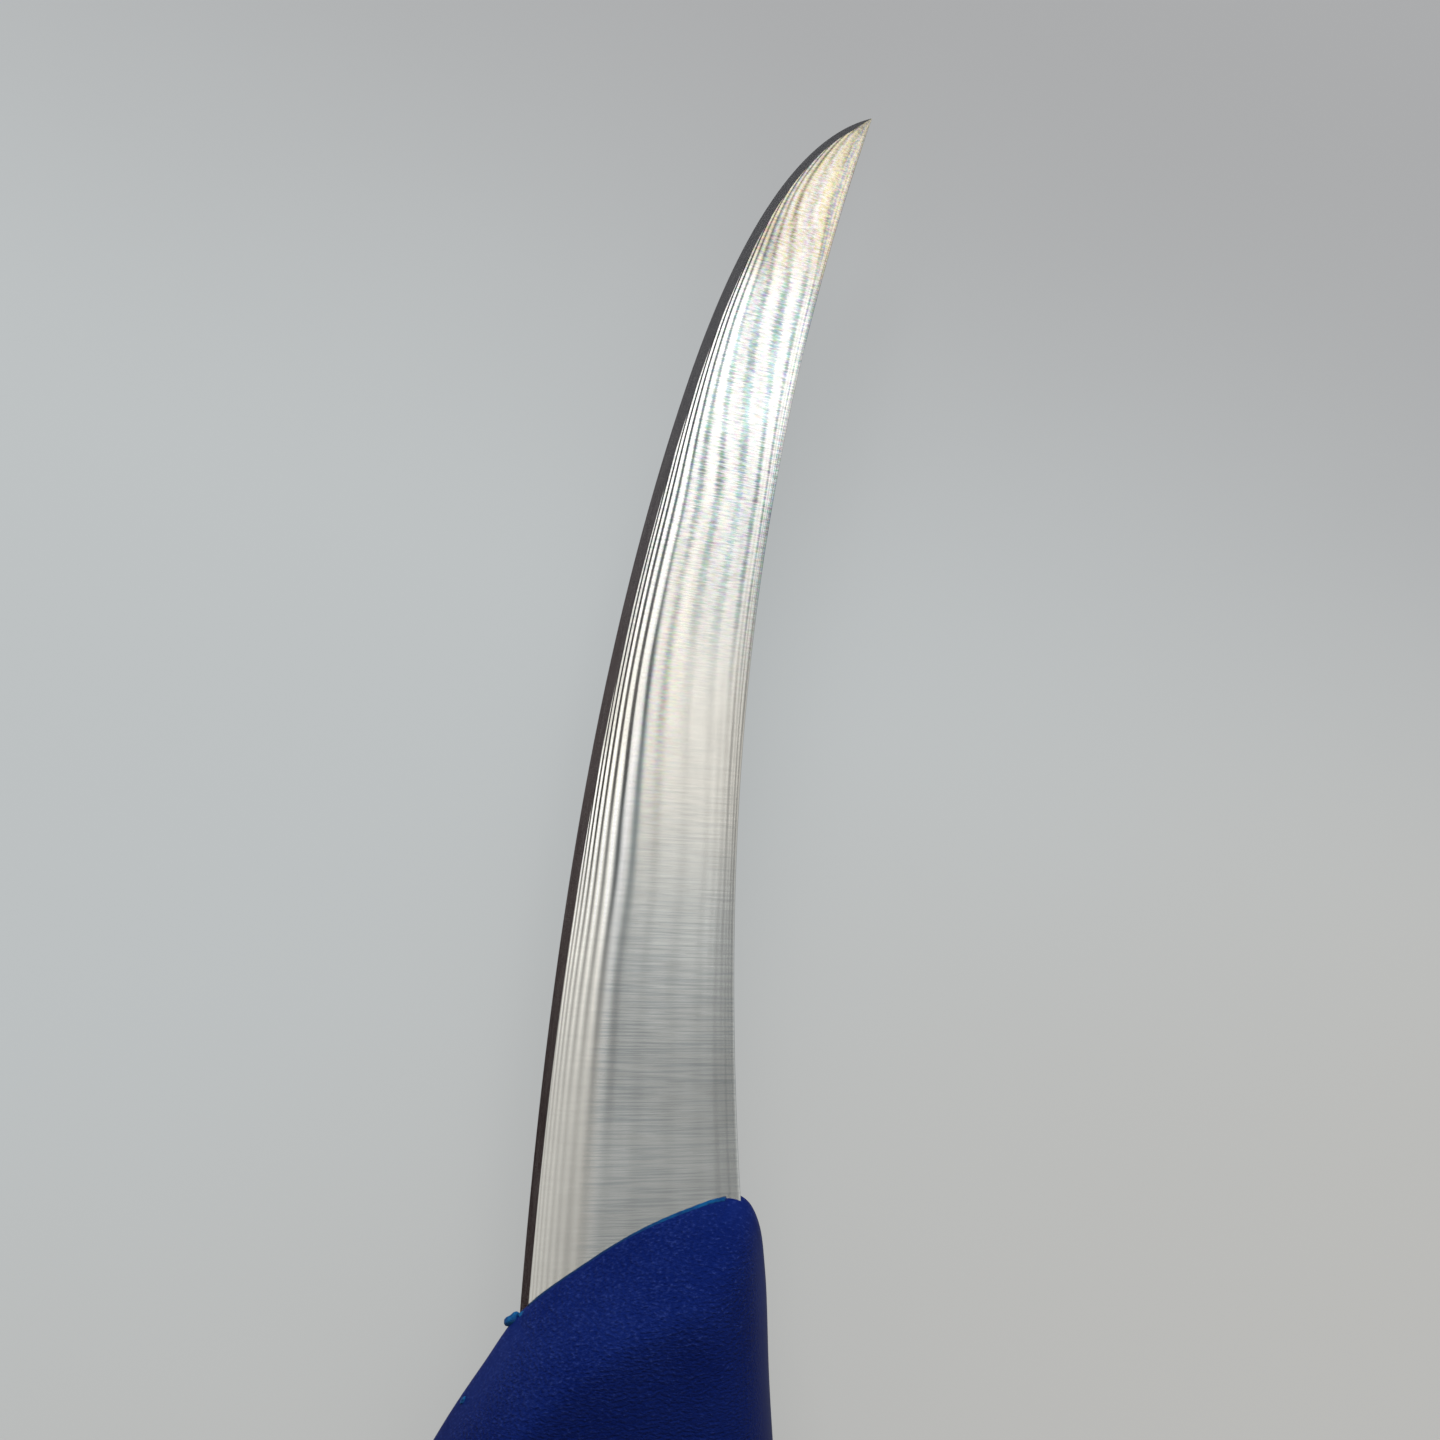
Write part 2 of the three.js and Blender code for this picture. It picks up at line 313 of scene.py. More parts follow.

# Painted reflection tints: teal, white and cream in the middle, gold and rose at the tip, teal along the
# painted dark line beside the edge
long_streaks = streaks(tree, lines * 0.9, along * 0.04)
cross_grain_sparkle = streaks(tree, across * 9.0 + along * 1.7, along * 5.0)
tip_streaks = streaks(tree, lines * 1.2, along * 0.012, 3.0)
sheen = long_streaks * 0.35 + cross_grain_sparkle * 0.45 + 0.15 - trough * 0.26
middle_tint = blend_colours(tree, sheen.ease(0.32, 0.46), FACE_TEAL, FACE_WHITE)
middle_tint = blend_colours(tree, sheen.ease(0.56, 0.66), middle_tint, FACE_CREAM)
tip_sheen = tip_streaks * 0.7 + cross_grain_sparkle * 0.3
tip_tint = blend_colours(tree, tip_sheen.ease(0.36, 0.44), FACE_LILAC, FACE_CREAM)
tip_tint = blend_colours(tree, tip_sheen.ease(0.44, 0.5), tip_tint, FACE_GOLD)
tip_tint = blend_colours(tree, tip_sheen.ease(0.56, 0.62), tip_tint, FACE_ROSE)
warmth = along.ease(40.0, 66.0).work("MAXIMUM", by_edge * 0.8)
rainbow = across.bell(0.42, 0.15) * along.bell(80.0, 17.0)
# Painted reflection: a dark teal line in the troughs of the waves beside the edge, with painted shade beside
# it
dark_line_zone = (along.ease(10.0, 36.0) * 0.55 + along.ease(38.0, 58.0) * 0.45) * along.fall(70.0, 95.0)
painted_dark_line = trough * across.bell(*DARK_LINE_PLACE) * dark_line_zone
dark_line_tint = painted_dark_line * along.ease(30.0, 60.0) * 0.8
lilac_band = across.bell(0.3, 0.05) * along.bell(60.0, 22.0) * 0.5
hairlines = streaks(tree, across * 2.2 + along * 1.5, along * 4.2, 3.0).ease(0.44, 0.64)
hair_zone = along.bell(31.0, 12.0) * 0.3 + along.fall(40.0, 85.0) * 0.24 + along.fall(14.0, 30.0) * 0.16
hair_share = hairlines * hair_zone * across.ease(0.2, 0.36) * (1.0 - across.ease(0.55, 0.85) * 0.2)
face_colour = blend_colours(tree, warmth, FACE_COOL, FACE_WARM)
face_colour = blend_colours(tree, sparkle * 0.9, face_colour, middle_tint)
face_colour = blend_colours(tree, rainbow * 0.6, face_colour, FACE_CREAM)
face_colour = blend_colours(tree, at_tip * 0.9, face_colour, tip_tint)
face_colour = blend_colours(tree, dark_line_tint, face_colour, FACE_TEAL)
face_colour = blend_colours(tree, lilac_band, face_colour, FACE_LILAC)
face_colour = blend_colours(tree, hair_share, face_colour, FACE_SHADE)

# Painted reflections: light and dark lines, strong beside the edge, in broken bands over the middle, and
# fine beside the spine
edge_contrast = by_edge * (along.ease(18.0, 58.0) * 0.5 + 0.09) * (1.0 - along.ease(58.0, 74.0) * 0.8)
edge_gain = along.bell(46.0, 14.0) * 0.04 + along.ease(25.0, 42.0) * 0.04
edge_shine = along.ease(48.0, 66.0) * 0.22 * crest * (1.0 - across.ease(0.14, 0.22) * 0.55)
first_lines = across.fall(0.1, 0.16) * along.ease(48.0, 64.0) * 0.36
first_lines = first_lines + across.fall(0.14, 0.24) * along.ease(85.0, 118.0) * 0.45
first_lines = first_lines + across.fall(0.12, 0.24) * along.bell(57.0, 11.0) * 0.35
edge_level = (edge_gain + edge_shine - first_lines * trough) * by_edge * (1.0 - at_tip)
patches = streaks(tree, across * 5.0, along * 0.12).ease(0.3, 0.7) * 1.2 + 0.15
patches = (patches * (1.3 - cross_grain_sparkle.ease(0.3, 0.7) * 0.6) - 0.8) * sparkle + 0.8
middle_lines = along.bell(104.0, 24.0) * 0.2 + at_tip * 0.12 + along.ease(30.0, 55.0) * 0.05 + 0.07
middle_lines = middle_lines * patches * off_edge * (1.0 - by_spine * 0.4)
spine_lines = by_spine * across.fall(0.955, 0.985) * (along.ease(62.0, 85.0) * 0.75 + 0.25)
spine_lines = spine_lines * (1.0 - at_tip * 0.5) * 0.3

# Painted highlights and shade: broad light and dark places of the face, from the heel to the tip
heel_gain = along.bell(16.0, 5.0) * 0.06 - along.bell(25.0, 6.0) * 0.05
heel_gain = (heel_gain + along.fall(18.0, 34.0) * across.fall(0.7, 0.9) * 0.05) * off_edge
beside_dark_line = across.bell(0.4, 0.08) * along.ease(16.0, 36.0) * along.fall(48.0, 68.0)
slant_band = (across + along * SLANT_BAND_TURN).bell(*SLANT_BAND_PLACE)
slant_band = slant_band * along.ease(46.0, 62.0) * along.fall(88.0, 106.0)
middle_gain = along.bell(114.0, 12.0) * 0.05 - along.bell(96.0, 9.0) * 0.07
spine_shade = across.ease(0.78, 0.95) * along.bell(42.0, 16.0) * 0.07
spine_shade = spine_shade + across.bell(0.95, 0.06) * (1.0 - sparkle) * 0.14
tip_shade = at_tip * 0.08 + along.bell(133.0, 5.0) * 0.08
tip_shade = tip_shade + along.bell(130.0, 6.0) * across.fall(0.25, 0.6) * 0.18
tip_shade = tip_shade + at_tip * across.fall(0.12, 0.45) * (trough * 0.15 + 0.2)
level = ripple * edge_contrast + edge_level + 1.0
level = level - trough * (middle_lines + spine_lines) - painted_dark_line * DARK_LINE_SHADE
level = level + heel_gain + middle_gain - spine_shade - tip_shade
level = level - beside_dark_line * BESIDE_DARK_LINE_SHADE - slant_band * SLANT_BAND_SHADE
# The cross grain and the streaks are real marks; their sparkle over the middle and the tip is painted light
# in the colour
level = level * (cross_grain_sparkle.ease(0.3, 0.7) * (sparkle * 0.24 + 0.04) + (sparkle * -0.12 + 0.98))
level = level * (long_streaks.ease(0.3, 0.7) * (sparkle * 0.20 + 0.03) + (sparkle * -0.10 + 0.985))
level = level * ((tip_streaks - 0.5) * at_tip * 0.5 + 1.0)
# The colour is scaled by this painted level of light and dark
face_colour = add_node(tree, "VectorMath", face_colour, operation="SCALE")
tree.links.new(level.socket, face_colour.node.inputs["Scale"])
# Speckle overlay: painted sparkle over the middle of the face and its cream band
speckle = streaks(tree, across * 16.0, along * 2.6).socket.node
speckle_share = (sparkle * 0.5).work("MAXIMUM", rainbow * 0.45)
overlay = add_node(tree, "Mix", speckle_share, data_type="RGBA", blend_type="OVERLAY").node
tree.links.new(face_colour, overlay.inputs[6])
tree.links.new(speckle.outputs["Color"], overlay.inputs[7])
tree.links.new(overlay.outputs[2], shader.inputs["Base Color"])
face_roughness = streaks(tree, across * 8.0, along * 0.3) * 0.06 + FACE_ROUGHNESS
tree.links.new(face_roughness.socket, shader.inputs["Roughness"])
shader.inputs["Metallic"].default_value = 1.0
shader.inputs["Anisotropic"].default_value = FACE_ANISOTROPY
shader.inputs["Anisotropic Rotation"].default_value = FACE_ANISOTROPY_TURN
face_run = add_node(tree, "Tangent", direction_type="UV_MAP", uv_map="UVMap")
tree.links.new(face_run, shader.inputs["Tangent"])

# Bevel: honed along the edge, with fine scratches; the tang keeps a plain dull finish
BEVEL_BRIGHT = (0.64, 0.625, 0.62)
BEVEL_DULL = (0.57, 0.55, 0.55)
BEVEL_ROUGHNESS = 0.16
HONING_COUNT = 90.0
TANG_MARKS_PER_METRE = 400.0
TANG_ROUGHNESS = 0.3
steel_bevel, tree, shader = new_finish("steel_bevel")
bevel_place = add_node(tree, "SeparateXYZ", add_node(tree, "UVMap", uv_map="UVMap"))
across = Reading(bevel_place)
along = Reading(bevel_place.node.outputs[1]) * GRIND_UNIT
honing = streaks(tree, across * HONING_COUNT, along * 0.12)
tree.links.new(blend_colours(tree, honing, BEVEL_DULL, BEVEL_BRIGHT), shader.inputs["Base Color"])
tree.links.new((honing * 0.08 + BEVEL_ROUGHNESS).socket, shader.inputs["Roughness"])
shader.inputs["Metallic"].default_value = 1.0
steel_tang, tree, shader = new_finish("steel_tang")
tang_place = add_node(tree, "TexCoord").node.outputs["Object"]
scale_marks = Reading(add_node(tree, "TexNoise", tang_place, None, TANG_MARKS_PER_METRE, 3.0, 0.6))
tree.links.new(blend_colours(tree, scale_marks, BEVEL_DULL, FACE_SHADE), shader.inputs["Base Color"])
tree.links.new((scale_marks * 0.2 + TANG_ROUGHNESS).socket, shader.inputs["Roughness"])
shader.inputs["Metallic"].default_value = 1.0

# Upper half on a grid of columns from edge to spine and rows from root to tip, then mirrored
bm = bmesh.new()
uv_layer = bm.loops.layers.uv.new("UVMap")
bmesh.ops.create_grid(bm, x_segments=BLADE_COLUMNS, y_segments=BLADE_ROWS, size=0.5, calc_uvs=True)
spine_line = interpolate_bezier(*SPINE_CURVE, CURVE_STEPS)
edge_line = interpolate_bezier(*EDGE_CURVE, CURVE_STEPS)
edge_line += interpolate_bezier(*EDGE_TIP_CURVE, CURVE_STEPS)[1:]
rows = []
for row in range(BLADE_ROWS + 1):
    station = 1 - (1 - row / BLADE_ROWS) ** TIP_CROWDING
    spine = point_along(spine_line, station)
    run = Vector((0.0, 1.0, 0.0))
    if station > SPINE_STEP:
        run = (spine - point_along(spine_line, station - SPINE_STEP)).normalized()
    rows.append((station, point_along(edge_line, station), spine, run))
sweep_layer = bm.verts.layers.float.new("line_sweep")
grind_places = {}
bm.verts.index_update()
for vert in bm.verts:
    column = round((vert.co.x + 0.5) * BLADE_COLUMNS)
    station, edge, spine, run = rows[round((vert.co.y + 0.5) * BLADE_ROWS)]
    width = max((spine - edge).length, LEAST_WIDTH)
    distance, height = blade_section(column, width, station)
    vert.co = edge.lerp(spine, distance / width)
    length = station * SPINE_LENGTH + (vert.co - spine).dot(run)
    vert.co.z = height
    sweep = LINE_SWEEP * max(0.0, station - LINE_SWEEP_START) ** LINE_SWEEP_POWER
    bends = sum(
        shift * math.exp(-(((station - middle) / reach) ** 2)) for middle, reach, shift in LINE_BENDS
    )
    vert[sweep_layer] = sweep + bends
    grind_places[vert.index] = (distance / width, length / GRIND_UNIT, column)
for face in bm.faces:
    face.smooth = True
    columns = [grind_places[vert.index][2] for vert in face.verts]
    face.material_index = 1 if max(columns) <= BEVEL_COLUMNS else 0
    for loop in face.loops:
        loop[uv_layer].uv = grind_places[loop.vert.index][:2]
for bent in bm.edges:
    columns = {grind_places[vert.index][2] for vert in bent.verts}
    bent.smooth = columns not in ({0}, {BEVEL_COLUMNS})
add_mirrored_half(bm)
bmesh.ops.holes_fill(bm, edges=[bent for bent in bm.edges if bent.is_boundary], sides=0)
bmesh.ops.recalc_face_normals(bm, faces=bm.faces)

# Tang: copied from the solid and cut off just inside the blade's root
tang = bmesh.new()
tang.from_mesh(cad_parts["blade"].data)
bmesh.ops.remove_doubles(tang, verts=tang.verts, dist=TANG_MERGE)
bmesh.ops.transform(tang, matrix=TO_FRAME.inverted(), verts=tang.verts)
root_line = SPINE_CURVE[0] - EDGE_CURVE[0]
root_front = Vector((-root_line.y, root_line.x, 0.0)).normalized()
tang_cut = SPINE_CURVE[0] + root_front * TANG_OVERLAP
tang_parts = tang.verts[:] + tang.edges[:] + tang.faces[:]
bmesh.ops.bisect_plane(tang, geom=tang_parts, plane_co=tang_cut, plane_no=root_front, clear_outer=True)
bmesh.ops.holes_fill(tang, edges=[bent for bent in tang.edges if bent.is_boundary], sides=0)
for face in tang.faces:
    face.material_index = 2
tang_mesh = bpy.data.meshes.new("tang_copy")
tang.to_mesh(tang_mesh)
tang.free()
bm.from_mesh(tang_mesh)
bpy.data.meshes.remove(tang_mesh)
finish_piece(bm, "steel_blade", [steel_face, steel_bevel, steel_tang], "blade")


# Handle: one plastic moulding, shot around the tang in a two-part mould, with a guard before the fingers.
# The plastic is dyed through in dark blue, with a fine moulded grain that stops short of the parting line.
# Each rim entry is a point of the parting line, the point of the flank inside it, and the fullness between.
HANDLE_HALF = 11.5
ROUND = 2.0
RAMP = 1.25
HANDLE_RIM = (
    ((-1.5, 0.6), (-7.2, -13.9), 1.3),
    ((-7.1, -1.1), (-9.4, -14.7), RAMP),
    ((-13.5, -4.1), (-12.8, -16.4), RAMP),
    ((-19.8, -8.1), (-16.8, -18.8), RAMP),
    ((-28.3, -14.6), (-21.2, -21.9), RAMP),
    ((-33.4, -21.6), (-26.0, -26.5), RAMP),
    ((-38.6, -29.4), (-31.0, -32.4), RAMP),
    ((-43.0, -37.4), (-34.6, -38.6), 1.5),
    ((-44.8, -43.2), (-36.0, -42.6), ROUND),
    ((-42.6, -48.2), (-35.2, -45.4), ROUND),
    ((-35.6, -52.4), (-29.6, -47.8), ROUND),
    ((-28.8, -58.0), (-21.0, -53.0), ROUND),
    ((-25.8, -67.0), (-16.6, -65.0), ROUND),
    ((-26.2, -80.0), (-15.8, -80.0), ROUND),
    ((-29.0, -98.0), (-18.0, -98.0), ROUND),
    ((-33.4, -115.0), (-22.0, -113.0), ROUND),
    ((-37.4, -127.0), (-26.0, -121.5), ROUND),
    ((-36.8, -134.0), (-26.4, -125.4), ROUND),
    ((-30.5, -137.4), (-23.0, -127.6), ROUND),
    ((-17.5, -138.6), (-16.5, -128.4), ROUND),
    ((-5.5, -136.2), (-10.6, -126.6), ROUND),
    ((1.0, -129.6), (-7.6, -121.8), ROUND),
    ((3.8, -112.0), (-6.4, -110.0), ROUND),
    ((5.6, -80.0), (-5.6, -80.0), ROUND),
    ((5.2, -50.0), (-5.4, -50.0), ROUND),
    ((3.7, -24.0), (-5.5, -28.0), ROUND),
    ((3.15, -9.5), (-5.4, -18.6), 1.8),
    ((2.3, -3.2), (-5.6, -15.4), 1.6),
    ((0.8, -0.4), (-6.2, -14.2), 1.4),
)
RIM_KNOTS = [Vector((*rim, fullness)) for rim, flank, fullness in HANDLE_RIM]
FLANK_KNOTS = [Vector((*flank, 0.0)) for rim, flank, fullness in HANDLE_RIM]
FLANK_MIDDLE = (
    Vector((-30.0, -39.5, 0.0)),
    Vector((-16.5, -37.0, 0.0)),
    Vector((-11.5, -58.0, 0.0)),
    Vector((-10.7, -80.0, 0.0)),
    Vector((-12.2, -98.0, 0.0)),
    Vector((-16.3, -120.0, 0.0)),
)
RIM_STEPS = 8
ROUNDING_ROWS = 16
FLANK_SHARES = (0.05, 0.15, 0.3, 0.45, 0.6, 0.75)
HANDLE_COLUMNS = len(HANDLE_RIM) * RIM_STEPS
HANDLE_ROWS = ROUNDING_ROWS + len(FLANK_SHARES)
SCOOP_MIDDLE = Vector((-14.0, -46.0, 0.0))
SCOOP_DEPTH = 1.1
SCOOP_RADIUS = 200.0
SCOOP_TURN = math.radians(33)
SCOOP_RUN = Vector((math.cos(SCOOP_TURN), math.sin(SCOOP_TURN), 0.0))
SCOOP_SOFTNESS = 0.25
SCOOP_CLEAR = 30.0
SMOOTHING_ROUNDS = 12
SMOOTHING_SHARE = 0.5
SMOOTHING_FLOOR = 1.5
SMOOTHING_CLEARANCE = 3.0
FLANK_FLOOR = 1.0
BLADE_KNOTS = 4
GRAIN_START = 0.4
PLAIN_MARGIN = 2.2
PLAIN_FRONT_MARGIN = 0.5


def closed_curve(knots, share):
    """A point on the smooth closed curve through the knots."""
    place = share * len(knots)
    first = math.floor(place)
    before, start, end, after = (knots[(first + step) % len(knots)] for step in (-1, 0, 1, 2))
    lead, span, trail = (math.sqrt((b - a).length) for a, b in ((before, start), (start, end), (end, after)))
    leave = ((start - before) / lead - (end - before) / (lead + span) + (end - start) / span) * span
    arrive = ((end - start) / span - (after - start) / (span + trail) + (after - end) / trail) * span
    t = place - first
    bend = (end - start) * 3 - leave * 2 - arrive
    twist = (start - end) * 2 + leave + arrive
    return start + leave * t + bend * t**2 + twist * t**3


def rim_section(share):
    """The parting line's point, the flank's point and the rounding's power, at a share of the way round."""
    rim = closed_curve(RIM_KNOTS, share)
    flank = closed_curve(FLANK_KNOTS, share)
    power = 2 / rim.z
    rim.z = 0.0
    return rim, flank, power


def flank_middle(point):
    """The nearest point of the line down the middle of the flank."""
    nearest = []
    for a, b in zip(FLANK_MIDDLE, FLANK_MIDDLE[1:]):
        _, share = intersect_point_line(point, a, b)
        nearest.append(a.lerp(b, min(max(share, 0.0), 1.0)))
    return min(nearest, key=lambda place: (place - point).length)


def scooped(place):
    """The height of the flank at a place, lowered by the shallow scoop behind the guard's ridge."""
    aside = (place - SCOOP_MIDDLE).cross(SCOOP_RUN).z
    drum = HANDLE_HALF - SCOOP_DEPTH + aside**2 / (2 * SCOOP_RADIUS)
    gap = (place.z - drum) / SCOOP_SOFTNESS
    if gap > SCOOP_CLEAR:
        return drum
    if gap < -SCOOP_CLEAR:
        return place.z
    return place.z - SCOOP_SOFTNESS * math.log1p(math.exp(gap))


# Moulded plastic: the grain is a fine raised texture, with a few pale specks, and painted glints and painted
# light on the guard's sloping front
PLASTIC_DEEP = (0.0008, 0.0050, 0.053)
PLASTIC_LIT = (0.0034, 0.0108, 0.080)
PLASTIC_GLINT = (0.015, 0.028, 0.125)
PLASTIC_SPECK = (0.07, 0.10, 0.26)
GRAINS_PER_METRE = 1.0 / 0.00032
GRAIN_DEPTH = 0.0003
GRAIN_TURN = math.radians(-14)
GRAIN_STRETCH = (0.55, 1.0, 0.8)
PITS_PER_METRE = GRAINS_PER_METRE * 0.9
PIT_SHARE = 0.6
MOTTLES_PER_METRE = 90.0
SPECKS_PER_METRE = 230.0
PLASTIC_ROUGHNESS = 0.44
PLASTIC_SHINE = 0.05
GUARD_SLANT = 0.387
GUARD_RIDGE = (-0.0265, -0.0165)
handle_plastic, tree, shader = new_finish("handle_plastic")
plastic_place = add_node(tree, "TexCoord").node.outputs["Object"]
grain_place = add_node(tree, "Mapping", plastic_place, None, (0.0, 0.0, GRAIN_TURN), GRAIN_STRETCH)
grain = Reading(add_node(tree, "TexNoise", grain_place, None, GRAINS_PER_METRE, 3.0, 0.6))
pits = Reading(add_node(tree, "TexVoronoi", grain_place, None, PITS_PER_METRE, feature="SMOOTH_F1"))
relief = (grain + pits * PIT_SHARE) * surface_reading(tree, "grain")
bump = add_node(tree, "Bump", 1.0, GRAIN_DEPTH).node
tree.links.new(relief.socket, bump.inputs["Height"])
tree.links.new(bump.outputs[0], shader.inputs["Normal"])
mottle = Reading(add_node(tree, "TexNoise", plastic_place, None, MOTTLES_PER_METRE, 3.0, 0.6))
plastic_axes = add_node(tree, "SeparateXYZ", plastic_place).node.outputs
# Painted light: the guard's sloping front is lighter than the flank, with more painted glints and pale
# flecks on its grain, and the flank is darker as painted shade; the mottle between the two blues varies at
# random
on_guard = (Reading(plastic_axes[1]) - Reading(plastic_axes[0]) * GUARD_SLANT).ease(*GUARD_RIDGE)
guard_painted_light = on_guard * (1.0 - Reading(plastic_axes[0]).ease(0.003, 0.012) * 0.8) * grain.ease(0.46, 0.6)
lit_share = (mottle * 0.6 + grain * 0.5).ease(0.3, 0.8) * (on_guard * 0.35 + 0.55)
plastic_colour = blend_colours(tree, lit_share, PLASTIC_DEEP, PLASTIC_LIT)
glints = grain.ease(0.58, 0.72) * (on_guard * 0.3 + 0.4)
plastic_colour = blend_colours(tree, glints, plastic_colour, PLASTIC_GLINT)
plastic_colour = blend_colours(tree, guard_painted_light * 0.16, plastic_colour, PLASTIC_GLINT)
speck_cells = add_node(tree, "TexVoronoi", plastic_place, None, SPECKS_PER_METRE)
speck_luck = Reading(add_node(tree, "SeparateXYZ", speck_cells.node.outputs["Color"]))
specks = Reading(speck_cells).fall(0.03, 0.08) * speck_luck.ease(0.72, 0.8)
plastic_colour = blend_colours(tree, specks * 0.7, plastic_colour, PLASTIC_SPECK)
tree.links.new(plastic_colour, shader.inputs["Base Color"])
tree.links.new((grain * 0.12 + PLASTIC_ROUGHNESS).socket, shader.inputs["Roughness"])
shader.inputs["Specular IOR Level"].default_value = PLASTIC_SHINE

# Upper half on a grid of columns round the rim and rows up to the middle of the flank, then mirrored
bm = bmesh.new()
bmesh.ops.create_grid(bm, x_segments=HANDLE_COLUMNS, y_segments=HANDLE_ROWS, size=0.5)
grain_layer = bm.verts.layers.float.new("grain")
for vert in bm.verts:
    column = round((vert.co.x + 0.5) * HANDLE_COLUMNS) % HANDLE_COLUMNS
    row = round((vert.co.y + 0.5) * HANDLE_ROWS)
    rim, flank, power = rim_section(column / HANDLE_COLUMNS)
    angle = min(row / ROUNDING_ROWS, 1.0) * math.pi / 2
    place = rim.lerp(flank, 1 - max(math.cos(angle), 0.0) ** power)
    if row > ROUNDING_ROWS:
        place = flank.lerp(flank_middle(flank), FLANK_SHARES[row - ROUNDING_ROWS - 1])
    place.z = math.sin(angle) ** power * HANDLE_HALF
    on_blade = column <= BLADE_KNOTS * RIM_STEPS
    margin = PLAIN_FRONT_MARGIN if on_blade else PLAIN_MARGIN
    reach = (place.xy - rim.xy).length
    vert[grain_layer] = min(max((reach - GRAIN_START * margin) / margin, 0.0), 1.0)
    place.z = scooped(place)
    vert.co = place
bmesh.ops.remove_doubles(bm, verts=bm.verts, dist=HALF_MERGE)
flank_edges = [bent for bent in bm.edges if bent.is_boundary and bent.verts[0].co.z > FLANK_FLOOR]
bmesh.ops.triangle_fill(bm, use_beauty=True, use_dissolve=False, edges=flank_edges)
rounded = []
for vert in bm.verts:
    clearance = (vert.co.xy - flank_middle(vert.co.xy.to_3d()).xy).length
    if vert.co.z > SMOOTHING_FLOOR and clearance > SMOOTHING_CLEARANCE:
        rounded.append(vert)
for _ in range(SMOOTHING_ROUNDS):
    bmesh.ops.smooth_vert(
        bm, verts=rounded, factor=SMOOTHING_SHARE, use_axis_x=True, use_axis_y=True, use_axis_z=True
    )
add_mirrored_half(bm)
bmesh.ops.recalc_face_normals(bm, faces=bm.faces)
for face in bm.faces:
    face.smooth = True
finish_piece(bm, "moulded_handle", [handle_plastic], "handle")


# Flash: a thin film that the mould squeezed out along the blade, and three crumbs left on the guard.
# It is the handle's own plastic, so thin that it looks bright beside the rest.
FLASH_DEEP = (0.002, 0.016, 0.058)
FLASH_BLUE = (0.0008, 0.024, 0.094)
FLASH_PALE = (0.0010, 0.052, 0.150)
FILM_KNOTS = (0.05, 3.9)
FILM_COLUMNS = 110
FILM_ROWS = 4
FILM_TUCK = 0.35
FILM_REACH = 0.19
FILM_FAR_REACH = 0.08
FILM_HEIGHTS = (1.13, 0.36)
FILM_RISE = 0.22
FILM_THICKNESS = 0.09
FILM_NARROWING = 1.7
FILM_RAGGEDNESS = 0.4
FILM_RAG_COUNT = 31.0
FILM_SHADE_RATE = 2.2
FILM_SHADE_DELAY = 0.45
FLASH_CLOUDS_PER_METRE = 1600.0
FLASH_ROUGHNESS = 0.35
FLASH_SHINE = 0.2
CRUMB_LUMPS = 0.5
CRUMB_LUMP_COUNT = 1.3
CRUMBS = (
    (Vector((-29.45, -15.95, 0.1)), Vector((1.1, 0.85, 0.4)), 0.6),
    (Vector((-28.1, -15.0, 0.5)), Vector((0.9, 0.32, 0.3)), 0.5),
    (Vector((-35.85, -26.0, 1.3)), Vector((0.5, 0.36, 0.3)), 0.9),
)
flash_plastic, tree, shader = new_finish("flash_plastic")
flash_place = add_node(tree, "TexCoord").node.outputs["Object"]
flash_cloud = Reading(add_node(tree, "TexNoise", flash_place, None, FLASH_CLOUDS_PER_METRE, 2.0, 0.6))
flash_colour = blend_colours(tree, flash_cloud.ease(0.35, 0.65), FLASH_BLUE, FLASH_PALE)
# Painted shade: the film darkens along its run towards the blade's edge
flash_colour = blend_colours(tree, surface_reading(tree, "film_shade"), flash_colour, FLASH_DEEP)
tree.links.new(flash_colour, shader.inputs["Base Color"])
tree.links.new((flash_cloud * 0.2 + FLASH_ROUGHNESS).socket, shader.inputs["Roughness"])
shader.inputs["Specular IOR Level"].default_value = FLASH_SHINE

# The film along the lip of the handle's front, then the crumbs as lumpy balls
bm = bmesh.new()
bmesh.ops.create_grid(bm, x_segments=FILM_COLUMNS, y_segments=FILM_ROWS, size=0.5)
film_shade_layer = bm.verts.layers.float.new("film_shade")
for vert in bm.verts:
    run = vert.co.x + 0.5
    out = vert.co.y + 0.5
    # Share of painted shade along the film's run
    vert[film_shade_layer] = min(max(FILM_SHADE_RATE * run - FILM_SHADE_DELAY, 0.0), 1.0)
    knot = FILM_KNOTS[0] + (FILM_KNOTS[1] - FILM_KNOTS[0]) * run
    rim, flank, power = rim_section(knot / len(RIM_KNOTS))
    height = FILM_HEIGHTS[0] + (FILM_HEIGHTS[1] - FILM_HEIGHTS[0]) * run
    inward = 1 - math.cos(math.asin((height / HANDLE_HALF) ** (1 / power))) ** power
    lip = rim.lerp(flank, inward)
    ragged = FILM_FAR_REACH + (FILM_REACH - FILM_FAR_REACH) * max(0.0, 1.0 - FILM_NARROWING * run)
    ragged *= 1.0 + FILM_RAGGEDNESS * noise.noise(Vector((run * FILM_RAG_COUNT, 0.0, 0.0)))
    place = lip + (rim - flank).normalized() * (out * (ragged + FILM_TUCK) - FILM_TUCK)
    place.z = height + FILM_RISE * (1.0 - out)
    vert.co = place
bmesh.ops.recalc_face_normals(bm, faces=bm.faces)
bmesh.ops.solidify(bm, geom=bm.faces[:], thickness=FILM_THICKNESS)
